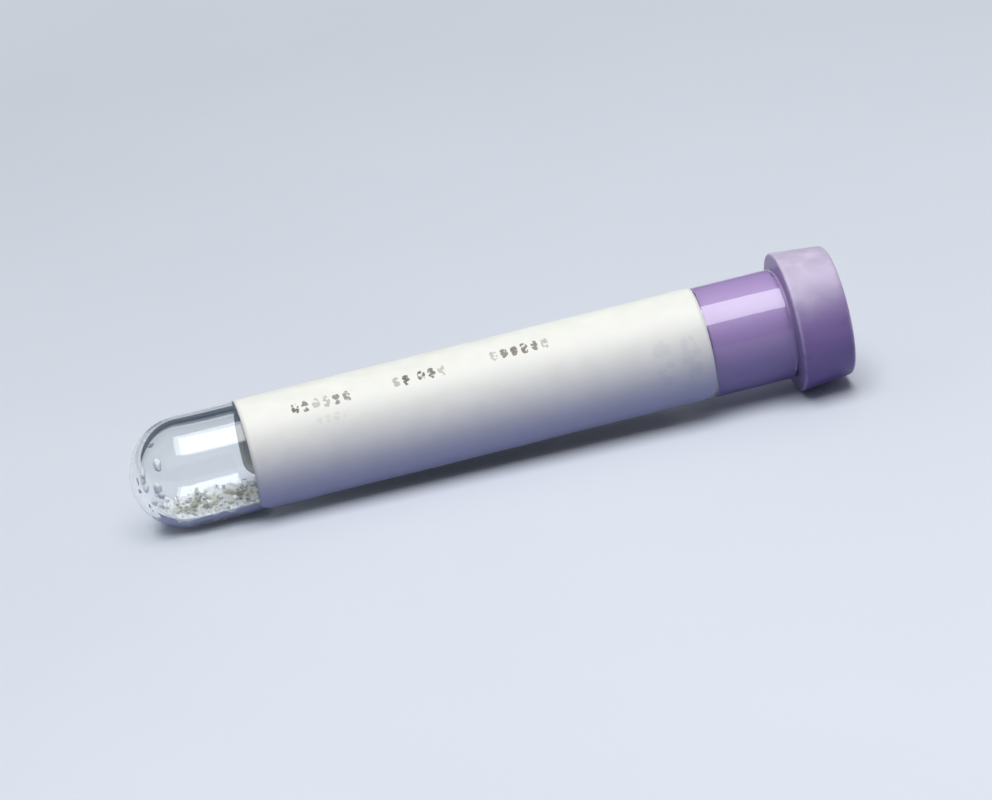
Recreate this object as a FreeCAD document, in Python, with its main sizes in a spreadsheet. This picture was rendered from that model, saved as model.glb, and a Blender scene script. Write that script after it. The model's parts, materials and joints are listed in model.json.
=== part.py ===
"""Evacuated blood collection tube: a round-bottomed glass tube, its rubber stopper, its wrapped
paper label and the dried additive inside, lying at rest on its round end and its stopper's flange.

Every piece is drawn in the tube's own frame: X runs along the tube's axis towards the stopper, and
the origin is the centre of the round bottom. Each piece's Placement then lays it down.
"""
import FreeCAD, Part
import Sketcher
import os

Vector = FreeCAD.Vector
PI = 3.141592653589793
UP_TO_STOPPER = Vector(0, -1, 0)  # turning about this axis lifts the stopper's end

doc = FreeCAD.newDocument("blood_collection_tube")

# ---------------------------------------------------------------- driving dimensions, mm and degrees
DIMENSIONS = [
    ("tube_outside", 12.6, "outside diameter of the glass"),
    ("tube_wall", 1.0, "thickness of the glass wall"),
    ("tube_length", 75.8, "glass, from the round end to the rim"),
    ("bottom_wall", 1.15, "thickness of the glass at the very end"),
    ("seat_gap", 0.02, "rim to the flange's underside"),
    ("plug_clearance", 0.04, "plug to bore, on the radius"),
    ("plug_length", 9.0, "part of the stopper inside the glass"),
    ("lead_in_length", 0.9, "tapered start of the plug"),
    ("lead_in_drop", 0.35, "how far the tapered start drops, on the radius"),
    ("plug_wall", 2.3, "rubber round the moulded hollow"),
    ("hollow_depth", 4.4, "moulded hollow in the plug's end"),
    ("hollow_draft", 0.35, "taper of the hollow, on the radius"),
    ("flange_overhang", 1.75, "flange past the glass, on the radius"),
    ("flange_taper", 0.65, "how far the flange's side draws in, on the radius"),
    ("flange_height", 6.2, "flange, from the rim to its outer face"),
    ("well_width", 5.6, "needle well in the flange's outer face"),
    ("well_depth", 3.6, "needle well, down to the septum"),
    ("flange_end_round", 0.5, "rounding of the flange's outer edge"),
    ("flange_seat_round", 0.3, "rounding of the flange's edge beside the glass"),
    ("well_mouth_round", 0.4, "rounding of the needle well's mouth"),
    ("label_from_end", 13.2, "bare glass at the round end"),
    ("label_from_rim", 9.75, "bare glass below the rim"),
    ("label_paper", 0.1, "thickness of the paper"),
    ("label_glue", 0.02, "thickness of the glue"),
    ("label_wrap", 280.0, "angle that the paper covers"),
    ("label_turn", -5.0, "turn of the label's middle from straight up"),
    ("label_corner", 2.0, "radius of the label's corners"),
    ("film_from_end", 3.6, "start of the additive"),
    ("film_length", 11.0, "length of the additive along the wall"),
    ("film_depth", 0.45, "thickness of the dried film"),
    ("film_spread", 66.0, "angle of wall that the film covers"),
    ("film_turn", -8.0, "turn of the film from straight down"),
    ("film_gap", 0.01, "glass to film, so that the two don't share faces"),
    ("grain_size", 2.0, "diameter of the largest grains"),
    ("grain_lift", 0.5, "centres of the grains above the glass"),
]
GRAIN_COUNT = 7
GRAIN_SWING = 137.5  # degrees between one grain's swing and the next
GRAIN_VARIETY = 0.25  # share of the largest grain's size by which a middling grain is smaller

sheet = doc.addObject("Spreadsheet::Sheet", "sizes")
for row, (alias, value, meaning) in enumerate(DIMENSIONS, start=1):
    sheet.set(f"A{row}", meaning)
    sheet.set(f"B{row}", str(value))
    sheet.setAlias(f"B{row}", alias)
doc.recompute()


def rough(name):
    """A driving dimension as a number, for where a sketch starts before its constraints act."""
    return getattr(sheet, name)


# Lengths that several pieces share, as expressions on the sheet. The origin is the centre of the
# round bottom, so the round end itself is at minus the outside radius.
OUTER = "(sizes.tube_outside / 2)"
BORE = "(sizes.tube_outside / 2 - sizes.tube_wall)"
RIM_X = f"(sizes.tube_length - {OUTER})"
BOWL_X = f"(sizes.bottom_wall + {BORE} - {OUTER})"
SEAT_X = f"({RIM_X} + sizes.seat_gap)"
PLUG = f"({BORE} - sizes.plug_clearance)"
PLUG_END_X = f"({SEAT_X} - sizes.plug_length)"
HOLLOW = f"({PLUG} - sizes.plug_wall)"
HOLLOW_END_X = f"({PLUG_END_X} + sizes.hollow_depth)"
FLANGE = f"({OUTER} + sizes.flange_overhang)"
FLANGE_END = f"({FLANGE} - sizes.flange_taper)"
FLANGE_END_X = f"({SEAT_X} + sizes.flange_height)"
WELL_FLOOR_X = f"({FLANGE_END_X} - sizes.well_depth)"
LABEL_INSIDE = f"({OUTER} + sizes.label_glue)"
LABEL_START_X = f"(sizes.label_from_end - {OUTER})"
LABEL_END_X = f"({RIM_X} - sizes.label_from_rim)"
LABEL_EDGE = "(sizes.label_wrap / 2)"
CORNER_ANGLE = f"(asin(sizes.label_corner / {LABEL_INSIDE}) / 1 deg)"
FILM = f"({BORE} - sizes.film_gap)"
FILM_TOP = f"({FILM} - sizes.film_depth)"
FILM_START_X = f"(sizes.film_from_end - {OUTER})"
FILM_END_X = f"({FILM_START_X} + sizes.film_length)"

# Centres of the roundings at the flange's two edges. Its side slants, so they draw in a little.
SLANT = "sqrt(sizes.flange_taper ^ 2 + sizes.flange_height ^ 2)"
SEAT_EDGE_X = f"({SEAT_X} + sizes.flange_seat_round)"
SEAT_EDGE = (
    f"({FLANGE} - sizes.flange_seat_round"
    f" * ({SLANT} + sizes.flange_taper) / sizes.flange_height)"
)
END_EDGE_X = f"({FLANGE_END_X} - sizes.flange_end_round)"
END_EDGE = (
    f"({FLANGE_END} - sizes.flange_end_round"
    f" * ({SLANT} - sizes.flange_taper) / sizes.flange_height)"
)

# At rest the round bottom and the flange's edge beside the glass both touch the ground. The flange
# is wider, so the axis rises towards the stopper by this angle.
REST_TILT = (
    f"(atan({SEAT_EDGE} / {SEAT_EDGE_X})"
    f" - asin(({OUTER} - sizes.flange_seat_round) / sqrt({SEAT_EDGE_X} ^ 2 + {SEAT_EDGE} ^ 2)))"
)
FAR_END_X = (
    f"({END_EDGE_X} * cos({REST_TILT}) + {END_EDGE} * sin({REST_TILT}) + sizes.flange_end_round)"
)


# ---------------------------------------------------------------- drawing helpers
def new_body(name):
    """A PartDesign body with its own label, which names its file."""
    body = doc.addObject("PartDesign::Body", name)
    body.Label = name
    return body


def new_sketch(body, name, turn=None):
    """A sketch on the body's own XZ plane, turned about the tube's axis by the expression turn."""
    sketch = body.newObject("Sketcher::SketchObject", name)
    plane = next(f for f in body.Origin.OriginFeatures if f.Role == "XZ_Plane")
    sketch.AttachmentSupport = (plane, [""])
    sketch.MapMode = "FlatFace"
    if turn is not None:
        start = FreeCAD.Rotation(Vector(1, 0, 0), 1)
        sketch.AttachmentOffset = FreeCAD.Placement(Vector(0, 0, 0), start)
        sketch.setExpression("AttachmentOffset.Rotation.Angle", turn)
    return sketch


def dimension(sketch, name, expression, kind, *where):
    """Adds a named dimension to a sketch and binds it to the sheet."""
    index = sketch.addConstraint(Sketcher.Constraint(kind, *where))
    sketch.renameConstraint(index, name)
    sketch.setExpression(f"Constraints.{name}", expression)


def place_point(sketch, name, edge, end, x, y):
    """Fixes one end of an edge at (x, y) from the origin. A y of None puts it on the axis."""
    point = sketch.getPoint(edge, end)
    dimension(sketch, f"{name}_along", x, "DistanceX", -1, 1, edge, end, point.x)
    if y is None:
        sketch.addConstraint(Sketcher.Constraint("PointOnObject", edge, end, -1))
    else:
        dimension(sketch, f"{name}_radius", y, "DistanceY", -1, 1, edge, end, point.y)


def draw_polygon(sketch, corners):
    """A closed outline of straight edges through (name, x, y) corners, each fixed by dimensions.

    The first guess is a small regular polygon, in the corners' own order, that the dimensions
    then pull into place.
    """
    count = len(corners)
    first = sketch.GeometryCount
    guess = [FreeCAD.Rotation(Vector(0, 0, 1), -360.0 * i / count).multVec(Vector(-1, 0, 0))
             for i in range(count)]
    shift = Vector(rough("tube_length"), rough("tube_outside"), 0)
    for i in range(count):
        ends = (guess[i] + shift, guess[(i + 1) % count] + shift)
        sketch.addGeometry(Part.LineSegment(*ends), False)
    for i in range(count):
        after = first + (i + 1) % count
        sketch.addConstraint(Sketcher.Constraint("Coincident", first + i, 2, after, 1))
    for i, (name, x, y) in enumerate(corners):
        place_point(sketch, name, first + i, 1, x, y)


def arc(centre_x, centre_y, radius, start, end):
    """A circular arc for a sketch, counter-clockwise between two angles in radians."""
    circle = Part.Circle(Vector(centre_x, centre_y, 0), Vector(0, 0, 1), radius)
    return Part.ArcOfCircle(circle, start, end)


def revolve(body, name, sketch, angle=None):
    """Turns a section round the tube's axis: all the way, or by angle about its own plane."""
    turned = body.newObject("PartDesign::Revolution", name)
    turned.Profile = sketch
    turned.ReferenceAxis = (sketch, ["H_Axis"])
    if angle is None:
        turned.Angle = 360.0
    else:
        turned.Midplane = True
        turned.setExpression("Angle", angle)
    doc.recompute()
    return turned


def rings(shape):
    """The circular edges round the axis, as (edge name, x, radius)."""
    found = []
    for index, edge in enumerate(shape.Edges, start=1):
        if isinstance(edge.Curve, Part.Circle) and abs(edge.Curve.Axis.x) > 0.999:
            found.append((f"Edge{index}", edge.Curve.Center.x, edge.Curve.Radius))
    return found


def round_ring(body, name, radius, x, ring_radius):
    """Rounds the ring edge nearest to (x, ring_radius), both taken from the body's own sketch."""
    base = body.Tip
    nearest = min(rings(base.Shape), key=lambda r: abs(r[1] - x) + abs(r[2] - ring_radius))
    rounded = body.newObject("PartDesign::Fillet", name)
    rounded.Base = (base, [nearest[0]])
    rounded.setExpression("Radius", radius)
    doc.recompute()
    return rounded


def sketch_point(sketch, name):
    """(x, radius) of a named corner, read from the dimensions that fix it."""
    return sketch.getDatum(f"{name}_along").Value, sketch.getDatum(f"{name}_radius").Value


# ---------------------------------------------------------------- glass tube
def make_glass_tube():
    """Drawn glass: one wall thickness, a bowl-shaped end and a fire-polished rim."""
    body = new_body("glass_tube")
    section = new_sketch(body, "glass_section")
    outer = rough("tube_outside") / 2
    wall = rough("tube_wall")
    bore = outer - wall
    bowl = rough("bottom_wall") + bore - outer
    rim = rough("tube_length") - outer - wall / 2
    shapes = [
        arc(0, 0, outer, PI / 2, PI),
        Part.LineSegment(Vector(0, outer, 0), Vector(rim, outer, 0)),
        arc(rim, outer - wall / 2, wall / 2, -PI / 2, PI / 2),
        Part.LineSegment(Vector(rim, bore, 0), Vector(bowl, bore, 0)),
        arc(bowl, 0, bore, PI / 2, PI),
        Part.LineSegment(Vector(bowl - bore, 0, 0), Vector(-outer, 0, 0)),
    ]
    outer_end, outer_side, rim_arc, bore_side, bowl_end, axis = range(len(shapes))
    section.addGeometry(shapes, False)
    # Tangent joins keep the wall smooth round the rim and into both bowls.
    for edge, end, other, other_end in [
        (outer_end, 1, outer_side, 1),
        (outer_side, 2, rim_arc, 2),
        (rim_arc, 1, bore_side, 1),
        (bore_side, 2, bowl_end, 1),
    ]:
        section.addConstraint(Sketcher.Constraint("Tangent", edge, end, other, other_end))
    section.addConstraint(Sketcher.Constraint("Coincident", bowl_end, 2, axis, 1))
    section.addConstraint(Sketcher.Constraint("Coincident", axis, 2, outer_end, 2))
    section.addConstraint(Sketcher.Constraint("Coincident", outer_end, 3, -1, 1))
    section.addConstraint(Sketcher.Constraint("PointOnObject", bowl_end, 3, -1))
    section.addConstraint(Sketcher.Constraint("PointOnObject", bowl_end, 2, -1))
    section.addConstraint(Sketcher.Constraint("PointOnObject", outer_end, 2, -1))
    section.addConstraint(Sketcher.Constraint("Horizontal", outer_side))
    section.addConstraint(Sketcher.Constraint("Horizontal", bore_side))
    dimension(section, "outside", OUTER, "Radius", outer_end, outer)
    dimension(section, "rim_round", "sizes.tube_wall / 2", "Radius", rim_arc, wall / 2)
    dimension(section, "rim_along", f"{RIM_X} - sizes.tube_wall / 2",
              "DistanceX", -1, 1, rim_arc, 3, rim)
    dimension(section, "bowl_along", BOWL_X, "DistanceX", -1, 1, bowl_end, 3, bowl)
    revolve(body, "glass_turned", section)
    return body


# ---------------------------------------------------------------- stopper
def make_stopper():
    """One moulding: plug with a hollow end, solid septum, and a tapered flange with a needle well."""
    body = new_body("stopper")
    section = new_sketch(body, "stopper_section", "90")  # its seam then runs along one side
    draw_polygon(section, [
        ("hollow_mouth", PLUG_END_X, HOLLOW),
        ("plug_end", PLUG_END_X, f"({PLUG} - sizes.lead_in_drop)"),
        ("lead_in", f"({PLUG_END_X} + sizes.lead_in_length)", PLUG),
        ("root", SEAT_X, PLUG),
        ("flange_seat", SEAT_X, FLANGE),
        ("flange_end", FLANGE_END_X, FLANGE_END),
        ("well_mouth", FLANGE_END_X, "sizes.well_width / 2"),
        ("well_floor", WELL_FLOOR_X, "sizes.well_width / 2"),
        ("septum_outside", WELL_FLOOR_X, None),
        ("septum_inside", HOLLOW_END_X, None),
        ("hollow_end", HOLLOW_END_X, f"({HOLLOW} - sizes.hollow_draft)"),
    ])
    revolve(body, "stopper_turned", section)
    for corner, radius in [
        ("flange_end", "sizes.flange_end_round"),
        ("flange_seat", "sizes.flange_seat_round"),
        ("well_mouth", "sizes.well_mouth_round"),
    ]:
        round_ring(body, f"{corner}_rounded", radius, *sketch_point(section, corner))
    return body


# ---------------------------------------------------------------- label
def cut_label_corners(body, name, side):
    """Rounds the two corners on one long edge of the label. side is 1 on one edge, -1 on the other.

    The sketch faces outwards at the corners' own centre line, so each corner is a true quarter
    circle on the paper.
    """
    turn = f"{side} * ({LABEL_EDGE} - {CORNER_ANGLE}) - sizes.label_turn - 90"
    sketch = new_sketch(body, f"{name}_sketch", turn)
    corner = rough("label_corner")
    spare = corner
    start = rough("label_from_end") - rough("tube_outside") / 2
    end = rough("tube_length") - rough("tube_outside") / 2 - rough("label_from_rim")
    for index, (x, inward) in enumerate([(start, 1), (end, -1)]):
        first = sketch.GeometryCount
        centre = x + inward * corner
        low = -side * corner
        far = -side * (corner + spare)
        quarter = {(1, 1): (PI, 1.5 * PI), (1, -1): (1.5 * PI, 2 * PI),
                   (-1, 1): (PI / 2, PI), (-1, -1): (0, PI / 2)}[(side, inward)]
        # The arc's end at its centre's own x, and its end at the label's edge.
        low_end, edge_end = (2, 1) if side * inward > 0 else (1, 2)
        points = [Vector(centre, low, 0), Vector(centre, far, 0),
                  Vector(x - inward * spare, far, 0), Vector(x - inward * spare, 0, 0),
                  Vector(x, 0, 0)]
        sketch.addGeometry(arc(centre, 0, corner, *quarter), False)
        for i in range(4):
            sketch.addGeometry(Part.LineSegment(points[i], points[i + 1]), False)
        sketch.addConstraint(Sketcher.Constraint("Coincident", first, low_end, first + 1, 1))
        for i in range(1, 4):
            sketch.addConstraint(Sketcher.Constraint("Coincident", first + i, 2, first + i + 1, 1))
        sketch.addConstraint(Sketcher.Constraint("Coincident", first + 4, 2, first, edge_end))
        for i, kind in enumerate(["Vertical", "Horizontal", "Vertical"], start=1):
            sketch.addConstraint(Sketcher.Constraint(kind, first + i))
        for edge, pos in [(first, 3), (first + 4, 1), (first + 4, 2)]:
            sketch.addConstraint(Sketcher.Constraint("PointOnObject", edge, pos, -1))
        sketch.addConstraint(Sketcher.Constraint("Vertical", first, 3, first, low_end))
        tag = f"corner_{index}"
        dimension(sketch, f"{tag}_round", "sizes.label_corner", "Radius", first, corner)
        edge_x = LABEL_START_X if inward > 0 else LABEL_END_X
        sign = "+" if inward > 0 else "-"
        dimension(sketch, f"{tag}_along", f"{edge_x} {sign} sizes.label_corner",
                  "DistanceX", -1, 1, first, 3, centre)
        dimension(sketch, f"{tag}_spare_along", "sizes.label_corner",
                  "Distance", first + 4, spare)
        dimension(sketch, f"{tag}_spare_across", "sizes.label_corner",
                  "Distance", first + 1, spare)
    cut = body.newObject("PartDesign::Pocket", name)
    cut.Profile = sketch
    cut.Type = "Length"
    cut.Reversed = True  # outwards, away from the tube's axis
    cut.setExpression("Length", f"{LABEL_INSIDE} + sizes.label_paper + sizes.label_corner")
    before = body.Shape.Volume
    doc.recompute()
    if not cut.Shape.Volume < before:
        raise RuntimeError(f"{name} cuts nothing")
    return cut


def make_label():
    """Paper wrapped round the glass, with rounded corners and a gap that leaves a window."""
    body = new_body("paper_label")
    section = new_sketch(body, "label_section", "-sizes.label_turn")
    outside = f"({LABEL_INSIDE} + sizes.label_paper)"
    draw_polygon(section, [
        ("start_inside", LABEL_START_X, LABEL_INSIDE),
        ("start_outside", LABEL_START_X, outside),
        ("end_outside", LABEL_END_X, outside),
        ("end_inside", LABEL_END_X, LABEL_INSIDE),
    ])
    revolve(body, "label_wrapped", section, "sizes.label_wrap")
    cut_label_corners(body, "corners_front", 1)
    cut_label_corners(body, "corners_back", -1)
    return body


# ---------------------------------------------------------------- additive
def make_film():
    """The dried film: a thin shell along the lower wall, following the bowl at the round end."""
    body = new_body("additive_film")
    section = new_sketch(body, "film_section", "180 - sizes.film_turn")
    outer = rough("tube_outside") / 2 - rough("tube_wall")
    start = rough("film_from_end") - rough("tube_outside") / 2
    bowl = rough("bottom_wall") - rough("tube_wall")
    end = start + rough("film_length")
    inner = outer - rough("film_depth")
    lean = (start - bowl) / outer
    rise = (1 - lean ** 2) ** 0.5
    angle = PI - FreeCAD.Vector(1, 0, 0).getAngle(Vector(-lean, rise, 0))
    shapes = [
        arc(bowl, 0, outer, PI / 2, angle),
        Part.LineSegment(Vector(bowl, outer, 0), Vector(end, outer, 0)),
        Part.LineSegment(Vector(end, outer, 0), Vector(end, inner, 0)),
        Part.LineSegment(Vector(end, inner, 0), Vector(bowl, inner, 0)),
        arc(bowl, 0, inner, PI / 2, angle),
        Part.LineSegment(Vector(bowl + inner * lean, inner * rise, 0),
                         Vector(bowl + outer * lean, outer * rise, 0)),
    ]
    wall_bowl, wall_side, edge, top_side, top_bowl, tip = range(len(shapes))
    section.addGeometry(shapes, False)
    for first, end_a, second, end_b in [(wall_bowl, 1, wall_side, 1), (top_side, 2, top_bowl, 1)]:
        section.addConstraint(Sketcher.Constraint("Tangent", first, end_a, second, end_b))
    for first, end_a, second, end_b in [
        (wall_side, 2, edge, 1), (edge, 2, top_side, 1), (top_bowl, 2, tip, 1),
        (tip, 2, wall_bowl, 2), (wall_bowl, 3, top_bowl, 3),
    ]:
        section.addConstraint(Sketcher.Constraint("Coincident", first, end_a, second, end_b))
    section.addConstraint(Sketcher.Constraint("Horizontal", wall_side))
    section.addConstraint(Sketcher.Constraint("Horizontal", top_side))
    section.addConstraint(Sketcher.Constraint("Vertical", edge))
    section.addConstraint(Sketcher.Constraint("PointOnObject", wall_bowl, 3, -1))
    section.addConstraint(Sketcher.Constraint("PointOnObject", wall_bowl, 3, tip))
    dimension(section, "wall", FILM, "Radius", wall_bowl, outer)
    dimension(section, "top", FILM_TOP, "Radius", top_bowl, inner)
    dimension(section, "bowl_along", BOWL_X, "DistanceX", -1, 1, wall_bowl, 3, bowl)
    dimension(section, "start_along", FILM_START_X, "DistanceX", -1, 1, wall_bowl, 2, start)
    dimension(section, "end_along", FILM_END_X, "DistanceX", -1, 1, edge, 1, end)
    revolve(body, "film_turned", section, "sizes.film_spread")
    return body


def put_grain(index, name):
    """One grain on the film. Grains step along the wall and swing from side to side of the film."""
    grain = doc.addObject("Part::Sphere", name)
    share = (index + 0.5) / GRAIN_COUNT
    swing = f"sin({GRAIN_SWING * index} deg)"
    along = f"({FILM_START_X} + {share} * sizes.film_length)"
    angle = f"((180 - sizes.film_turn + {swing} * sizes.film_spread / 2) * 1 deg)"
    into_bowl = f"min(0; {along} - {BOWL_X})"
    radius = f"sqrt(({FILM} - sizes.grain_lift) ^ 2 - {into_bowl} ^ 2)"
    grain.setExpression("Radius", f"sizes.grain_size / 2 * (1 - {GRAIN_VARIETY} * (1 - {swing}))")
    grain.setExpression("Placement.Base.x", along)
    grain.setExpression("Placement.Base.y", f"-{radius} * sin({angle})")
    grain.setExpression("Placement.Base.z", f"{radius} * cos({angle})")
    return grain


def make_bore_space():
    """The space inside the glass, less the film's gap, which trims the grains to the wall."""
    straight = doc.addObject("Part::Cylinder", "bore_straight")
    straight.setExpression("Radius", FILM)
    straight.setExpression("Height", f"{RIM_X} - {BOWL_X}")
    straight.Placement = FreeCAD.Placement(Vector(0, 0, 0), FreeCAD.Rotation(Vector(0, 1, 0), 90))
    straight.setExpression("Placement.Base.x", BOWL_X)
    bowl = doc.addObject("Part::Sphere", "bore_bowl")
    bowl.setExpression("Radius", FILM)
    bowl.setExpression("Placement.Base.x", BOWL_X)
    space = doc.addObject("Part::Fuse", "bore_space")
    space.Base = straight
    space.Tool = bowl
    return space


def make_additive():
    """The additive as it dries on the wall: the film with grains standing out of it."""
    crust = doc.addObject("Part::MultiFuse", "additive_crust")
    grains = [put_grain(i, f"grain_{i + 1:02d}") for i in range(GRAIN_COUNT)]
    crust.Shapes = [make_film()] + grains
    additive = doc.addObject("Part::Common", "additive")
    additive.Base = crust
    additive.Tool = make_bore_space()
    additive.Label = "additive"
    return additive


# ---------------------------------------------------------------- assembly
def lay_down(piece, leader):
    """Lays a piece at rest: the leader by the sheet's sizes, every other piece with the leader."""
    if piece is not leader:
        piece.setExpression("Placement", f"{leader.Name}.Placement")
        return
    piece.Placement = FreeCAD.Placement(Vector(0, 0, 0), FreeCAD.Rotation(UP_TO_STOPPER, 1))
    piece.setExpression("Placement.Rotation.Angle", REST_TILT)
    piece.setExpression("Placement.Base.x", f"({OUTER} - {FAR_END_X}) / 2")
    piece.setExpression("Placement.Base.z", OUTER)


def check(pieces):
    """Stops before anything is written if an object failed or a piece isn't a sound solid."""
    failed = [o.Name for o in doc.Objects if "Invalid" in o.State or "Error" in o.State]
    if failed:
        raise RuntimeError(f"these objects failed: {failed}")
    for piece in pieces:
        shape = piece.Shape
        if shape.isNull() or not shape.isValid() or not shape.Solids:
            raise RuntimeError(f"{piece.Label} has no sound shape")


def main():
    glass_tube = make_glass_tube()
    pieces = [glass_tube, make_stopper(), make_label(), make_additive()]
    for piece in pieces:
        lay_down(piece, glass_tube)
    doc.recompute()
    check(pieces)
    os.makedirs("parts", exist_ok=True)
    for piece in pieces:
        piece.Shape.exportStep(f"parts/{piece.Label}.step")
        box = piece.Shape.optimalBoundingBox()
        print(f"{piece.Label}: {piece.Shape.Volume:.2f} mm3,"
              f" X {box.XMin:.3f} to {box.XMax:.3f}, Y {box.YMin:.3f} to {box.YMax:.3f},"
              f" Z {box.ZMin:.3f} to {box.ZMax:.3f}, {len(piece.Shape.Solids)} solid")
    print(f"rest tilt: {glass_tube.Placement.Rotation.Angle * 180 / PI:.4f} degrees")


main()
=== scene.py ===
# %% [markdown]
# # A blood collection tube, dressed in Blender
# A thin glass tube with a round bottom lies on its side. A lavender rubber stopper closes it, a
# white paper label wraps most of the way round it, and a little dried additive sits inside. The
# solids come from CAD. Each one is redrawn here from the same measures, finely enough for
# close views, and then given its finish.

# %% Load the solids
import json
import math
import random

import bmesh
import bpy
from mathutils import Matrix, Vector, noise


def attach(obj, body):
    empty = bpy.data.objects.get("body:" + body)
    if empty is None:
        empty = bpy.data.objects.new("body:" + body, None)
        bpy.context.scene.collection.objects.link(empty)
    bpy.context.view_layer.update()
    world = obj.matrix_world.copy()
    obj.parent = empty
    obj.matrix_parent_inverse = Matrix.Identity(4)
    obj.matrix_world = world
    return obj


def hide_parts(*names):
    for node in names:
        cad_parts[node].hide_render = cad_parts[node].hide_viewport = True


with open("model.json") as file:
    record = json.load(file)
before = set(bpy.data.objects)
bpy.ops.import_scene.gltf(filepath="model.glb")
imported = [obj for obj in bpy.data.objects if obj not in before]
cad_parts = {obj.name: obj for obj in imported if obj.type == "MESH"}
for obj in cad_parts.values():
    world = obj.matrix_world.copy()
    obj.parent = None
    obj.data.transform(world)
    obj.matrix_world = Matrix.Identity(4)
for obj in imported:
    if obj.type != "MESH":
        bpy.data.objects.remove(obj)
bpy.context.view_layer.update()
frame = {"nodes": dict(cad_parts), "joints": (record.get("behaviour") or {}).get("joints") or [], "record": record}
print("solids:", sorted(frame["nodes"]))

# %% [markdown]
# ## The tube's own directions
# The stopper's flange is wider than the glass, so the tube lies a little nose-up. Everything is
# easier to draw in the tube's own frame: X along the axis, zero at the centre of the round
# bottom. The stopper slides along that axis, so its joint gives the direction, and the middle of
# the straight glass wall, a mount in the record, gives the place.

# %% The tube's frame
# Radii and lengths are in mm, and MM turns them into metres.
MM = 0.001
OUTSIDE = 6.3
WALL = 1.0
BORE = OUTSIDE - WALL
BOTTOM_WALL = 1.15
GLASS_LENGTH = 75.8
RIM_X = GLASS_LENGTH - OUTSIDE
LIP_X = RIM_X - WALL / 2


def pointing(x_axis, y_axis, z_axis):
    """A 4 by 4 matrix that turns a thing's own axes to these directions."""
    return Matrix((x_axis, y_axis, z_axis)).transposed().to_4x4()


axis = Vector(frame["joints"][0]["axis"]).normalized()
across = Vector((0, 1, 0))
wall_middle = next(m for m in frame["record"]["mounts"] if m["name"] == "tube_side")
LAID_DOWN = pointing(axis, across, axis.cross(across)) * MM
LAID_DOWN.translation = Vector(wall_middle["pos_m"]) - axis * LIP_X / 2 * MM
LAID_DOWN[3][3] = 1.0
print("the axis rises", round(math.degrees(math.asin(axis.z)), 3), "degrees")

# %% [markdown]
# ## Helpers for round pieces
# Glass and rubber parts like these are turned forms. A profile of (x, radius) points is spun
# round the axis into rings of quads. A Screw modifier could do it too, but rings made in code
# let each point carry extra data, such as how near it is to an edge.

# %% Profiles and rings
ON_AXIS = 1e-6    # a radius below this is a point on the axis


def bend(x, radius, size, start, end, steps):
    """Points on a rounding about (x, radius), between two angles in degrees."""
    angles = [math.radians(start + (end - start) * i / steps) for i in range(steps + 1)]
    return [(x + size * math.cos(a), radius + size * math.sin(a)) for a in angles]


def straight(start, end, steps):
    """Points from start to end, without the two ends."""
    return [
        (start[0] + (end[0] - start[0]) * i / steps, start[1] + (end[1] - start[1]) * i / steps)
        for i in range(1, steps)
    ]


def turned(profile, around, wobble=None):
    """Vertices and faces of a profile spun round the axis. Its ends lie on the axis."""
    points, rings, faces = [], [], []
    for x, radius in profile:
        if radius < ON_AXIS:
            rings.append([len(points)])
            points.append((x, 0.0, 0.0))
            continue
        ring = []
        for i in range(around):
            turn = 2 * math.pi * i / around
            size = radius + (wobble(x, turn, radius) if wobble else 0.0)
            ring.append(len(points))
            points.append((x, size * math.sin(turn), size * math.cos(turn)))
        rings.append(ring)
    for first, second in zip(rings, rings[1:]):
        for i in range(around):
            j = (i + 1) % around
            if len(first) == 1:
                faces.append((first[0], second[j], second[i]))
            elif len(second) == 1:
                faces.append((first[i], first[j], second[0]))
            else:
                faces.append((first[i], first[j], second[j], second[i]))
    return points, faces

# %% [markdown]
# ## Helpers for pieces
# A mesh made in code is only data until an object shows it in the scene. Each piece here rides
# on one body of the CAD model, so that it moves when the stopper is pulled, and it stands for
# one of the CAD solids, which is hidden. Cycles bends light by which side of a face is outside,
# so each closed mesh gets its normals checked.

# %% Making a piece
def put_in_scene(name, data):
    """An object that shows a mesh, a lamp or a camera."""
    placed = bpy.data.objects.new(name, data)
    bpy.context.scene.collection.objects.link(placed)
    return placed


def add_mesh(name, points, faces, body, node):
    """A smooth mesh from points in the tube's frame. It rides on a body and replaces a solid."""
    mesh = bpy.data.meshes.new(name)
    mesh.from_pydata([LAID_DOWN @ Vector(p) for p in points], [], faces)
    mesh.shade_smooth()
    piece = put_in_scene(name, mesh)
    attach(piece, body)
    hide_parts(node)
    return piece


def face_outwards(piece):
    """Makes all the normals of a closed mesh point out of it."""
    shape = bmesh.new()
    shape.from_mesh(piece.data)
    bmesh.ops.recalc_face_normals(shape, faces=shape.faces)
    shape.to_mesh(piece.data)
    shape.free()
    print(piece.name, len(piece.data.polygons), "faces")


def give_finish(piece, *materials):
    """Gives a piece its materials."""
    for material in materials:
        piece.data.materials.append(material)
        print(piece.name, "wears", material.name)

# %% [markdown]
# ## Helpers for materials
# A material is a small graph of nodes. These helpers add a node with its values, and start a
# material or a group, so that each finish below reads as a list of what it is made of.

# %% Node helpers
def set_inputs(tree, node, values):
    """Sets a node's input sockets, and links those that are given a socket."""
    for name, value in values.items():
        socket = node.inputs[name]
        if isinstance(value, bpy.types.NodeSocket):
            tree.links.new(value, socket)
        else:
            socket.default_value = value


def add_node(tree, kind, values=None, **settings):
    """A node with its settings and its inputs."""
    node = tree.nodes.new(kind)
    for name, value in settings.items():
        setattr(node, name, value)
    set_inputs(tree, node, values or {})
    return node


def new_material(name):
    """A material with a Principled BSDF and nothing else."""
    material = bpy.data.materials.new(name)
    material.use_nodes = True
    tree = material.node_tree
    tree.nodes.clear()
    shader = add_node(tree, "ShaderNodeBsdfPrincipled")
    output = add_node(tree, "ShaderNodeOutputMaterial", {0: shader.outputs[0]})
    return material, tree, shader, output


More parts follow.
